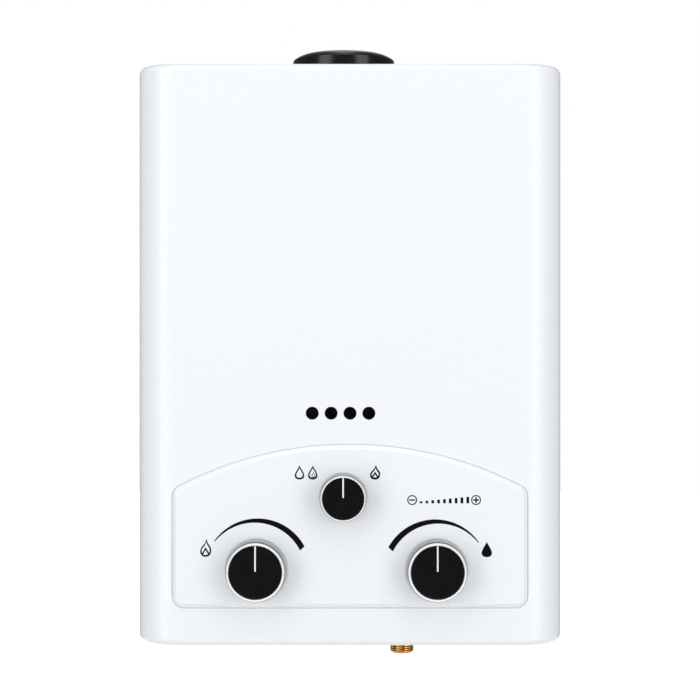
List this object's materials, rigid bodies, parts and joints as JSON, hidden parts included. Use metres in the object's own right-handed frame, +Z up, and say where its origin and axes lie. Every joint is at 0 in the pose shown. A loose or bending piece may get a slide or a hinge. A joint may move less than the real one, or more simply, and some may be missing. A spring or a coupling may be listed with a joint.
{
  "type": "portable propane water heater",
  "caption": "Wall-hung gas water heater: white sheet-steel case, arched control panel, round knobs, flue collar on top and threaded fittings below.",
  "frame": {"origin": "centre of the four wall-screw holes, on the wall face of the back plate", "axes": "+X to the user's right, -Y towards the user (+Y into the wall), +Z up"},
  "size_m": [0.2766, 0.1408, 0.3998],
  "materials": {
    "white_enamel": "gloss stove enamel on sheet steel",
    "zinc_sheet": "galvanised sheet steel",
    "black_enamel": "gloss black enamel",
    "copper": "copper, soft and slightly oxidised",
    "brass": "machined brass",
    "die_cast": "pressure die-cast aluminium",
    "burner_steel": "stainless steel sheet",
    "ceramic": "glazed ceramic",
    "electrode_steel": "heat-resisting steel wire",
    "black_plastic": "black moulded plastic",
    "silicone_lead": "silicone-covered lead",
    "thin_lead": "PVC-covered leads",
    "spring_steel": "spring steel",
    "nitrile": "nitrile rubber",
    "knob_chrome": "satin chrome plated plastic",
    "knob_black": "satin black insert with a white pointer",
    "bright_screw": "zinc plated screws",
    "white_plastic": "white moulded plastic",
    "cell_jacket": "printed cell jacket"
  },
  "bodies": {
    "case": {"back_plate": "zinc_sheet", "battery_box": "white_plastic", "battery_cells": "cell_jacket", "battery_contacts": "spring_steel", "bottom_plate": "white_enamel", "burner_bars": "burner_steel", "burner_frame": "zinc_sheet", "case_screws": "bright_screw", "chamber_coil": "copper", "control_leads": "thin_lead", "diaphragm": "nitrile", "drain_plug": "brass", "electrode_bracket": "zinc_sheet", "electrode_ceramics": "ceramic", "electrode_rods": "electrode_steel", "exchanger_fins": "copper", "exchanger_shell": "copper", "exhaust_hood": "zinc_sheet", "fin_tubes": "copper", "flue_collar": "black_enamel", "front_cover": "white_enamel", "gas_distributor": "die_cast", "gas_inlet_fitting": "brass", "gas_manifold": "die_cast", "gas_nozzles": "brass", "gas_valve_body": "die_cast", "gland_nuts": "brass", "guide_plug": "brass", "hot_outlet_fitting": "brass", "hot_pipe": "copper", "igniter_box": "black_plastic", "ignition_leads": "silicone_lead", "inlet_filter": "burner_steel", "pipe_nuts": "brass", "solenoid_can": "bright_screw", "solenoid_spring": "spring_steel", "switch_body": "black_plastic", "thermostat": "black_plastic", "top_plate": "white_enamel", "valve_bracket": "zinc_sheet", "valve_screws": "bright_screw", "valve_seat": "brass", "valve_spring": "spring_steel", "water_inlet_fitting": "brass", "water_valve_body": "brass", "water_valve_cover": "brass"},
    "gas_control": {"gas_knob_body": "knob_chrome", "gas_knob_face": "knob_black", "gas_spindle": "brass"},
    "season_control": {"season_knob_body": "knob_chrome", "season_knob_face": "knob_black", "season_spindle": "brass"},
    "temperature_control": {"temperature_knob_body": "knob_chrome", "temperature_knob_face": "knob_black", "temperature_spindle": "brass"},
    "lid": {"battery_lid": "white_plastic"},
    "water_rod": {"push_rod": "brass", "valve_disc": "nitrile"},
    "switch_arm": {"switch_lever": "spring_steel"},
    "safety_plunger": {"solenoid_plunger": "bright_screw"}
  },
  "joints": [
    {"name": "gas_knob_turn", "type": "hinge", "parent": "case", "child": "gas_control", "pos_m": [-0.0594, -0.1262, -0.1365], "axis": [0, 1, 0], "range_deg": [-60, 60]},
    {"name": "temperature_knob_turn", "type": "hinge", "parent": "case", "child": "temperature_control", "pos_m": [0.0549, -0.1262, -0.1365], "axis": [0, 1, 0], "range_deg": [-60, 60]},
    {"name": "season_knob_turn", "type": "hinge", "parent": "case", "child": "season_control", "pos_m": [-0.0043, -0.1262, -0.0903], "axis": [0, 1, 0], "range_deg": [-45, 45]},
    {"name": "battery_lid_swing", "type": "hinge", "parent": "case", "child": "lid", "pos_m": [0, -0.0794, -0.1832], "axis": [1, 0, 0], "range_deg": [0, 90]},
    {"name": "push_rod_slide", "type": "slide", "parent": "case", "child": "water_rod", "axis": [-1, 0, 0], "range_m": [0, 0.004], "stiffness_N_per_m": 150, "springref_m": -0.008, "deforming": ["valve_spring"]},
    {"name": "switch_lever_swing", "type": "hinge", "parent": "case", "child": "switch_arm", "pos_m": [0.0426, -0.058, -0.1165], "axis": [0, 1, 0], "range_deg": [0, 15]},
    {"name": "safety_plunger_slide", "type": "slide", "parent": "case", "child": "safety_plunger", "axis": [-1, 0, 0], "range_m": [0, 0.003], "stiffness_N_per_m": 120, "springref_m": -0.006, "deforming": ["solenoid_spring"]}
  ],
  "couplings": [
    {"joint": "switch_lever_swing", "follows": "push_rod_slide", "rad_per_m": 63}
  ]
}
